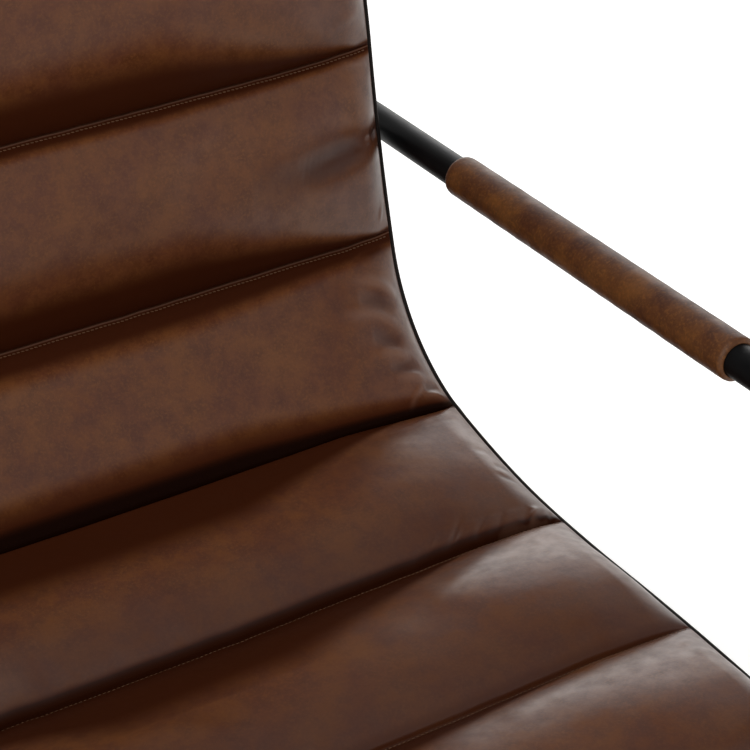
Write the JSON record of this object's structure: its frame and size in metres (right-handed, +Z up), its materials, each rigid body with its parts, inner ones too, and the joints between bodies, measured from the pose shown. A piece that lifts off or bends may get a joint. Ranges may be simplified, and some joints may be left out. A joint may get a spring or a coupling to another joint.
{
  "type": "swivel rocker",
  "caption": "Swivel rocking chair: channel-stitched leather sling in a round steel tube frame with padded arm grips, on a spring rocker, a swivel spindle and a ring base.",
  "frame": {"origin": "on the floor, on the swivel axis, which is the middle of the ring base", "axes": "+Z up; -Y is the front, the way a sitter looks; +X is to the right of someone who faces the chair's front"},
  "size_m": [0.6594, 0.725, 0.818],
  "materials": {
    "black_steel": "black powder coat, fine texture, semi-matt",
    "brown_leather": "brown pull-up leather with fine grain and a soft sheen",
    "dark_leather": "near-black brown leather, semi-matt",
    "zinc_steel": "bright zinc plating",
    "spring_steel": "dark oiled spring wire",
    "nylon": "natural nylon",
    "black_rubber": "matt black rubber",
    "web_cloth": "dark woven suspension cloth"
  },
  "bodies": {
    "base": {"base_ring": "black_steel", "base_spoke_1": "black_steel", "base_spoke_2": "black_steel", "base_spoke_3": "black_steel", "base_spoke_4": "black_steel", "floor_glide_1": "black_rubber", "floor_glide_2": "black_rubber", "floor_glide_3": "black_rubber", "floor_glide_4": "black_rubber", "swivel_hub": "black_steel", "upper_swivel_bush": "nylon", "lower_swivel_bush": "nylon", "thrust_washer": "zinc_steel"},
    "carriage": {"swivel_spindle": "zinc_steel", "spindle_nut": "zinc_steel", "rocker_cradle": "black_steel", "rocker_spring_front_left": "spring_steel", "rocker_spring_front_right": "spring_steel", "rocker_spring_rear_left": "spring_steel", "rocker_spring_rear_right": "spring_steel", "rear_bump_stop": "black_rubber", "front_bump_stop": "black_rubber", "pivot_bush_left": "nylon", "pivot_bush_right": "nylon"},
    "seat": {"rocker_top_plate": "black_steel", "pivot_pin": "zinc_steel", "pivot_pin_clip": "zinc_steel", "plate_bolt_front_left": "zinc_steel", "plate_bolt_front_right": "zinc_steel", "plate_bolt_rear_left": "zinc_steel", "plate_bolt_rear_right": "zinc_steel", "front_bearer": "black_steel", "rear_bearer": "black_steel", "lower_hoop": "black_steel", "arm_hoop": "black_steel", "front_cross_tube": "black_steel", "leg_collar_left": "black_steel", "rear_upright_left": "black_steel", "arm_grip_left": "brown_leather", "back_bracket_left": "black_steel", "seat_riser_left": "black_steel", "sling_rail_left": "black_steel", "leg_collar_right": "black_steel", "rear_upright_right": "black_steel", "arm_grip_right": "brown_leather", "back_bracket_right": "black_steel", "seat_riser_right": "black_steel", "sling_rail_right": "black_steel", "sling_top_bar": "black_steel", "sling_back_bar": "black_steel", "sling_front_bar": "black_steel", "suspension_sheet": "web_cloth", "back_cushion": "brown_leather", "seat_cushion": "brown_leather", "outer_cover": "brown_leather", "border_band": "dark_leather", "edge_piping": "dark_leather"}
  },
  "joints": [
    {"name": "swivel", "type": "hinge", "parent": "base", "child": "carriage", "pos_m": [0, 0, 0.15], "axis": [0, 0, 1], "continuous": true},
    {"name": "rock", "type": "hinge", "parent": "carriage", "child": "seat", "pos_m": [0, 0, 0.2562], "axis": [-1, 0, 0], "range_deg": [-8, 12], "stiffness_Nm_per_rad": 600, "springref_deg": -1.19, "deforming": ["rocker_spring_front_left", "rocker_spring_front_right", "rocker_spring_rear_left", "rocker_spring_rear_right"]}
  ]
}
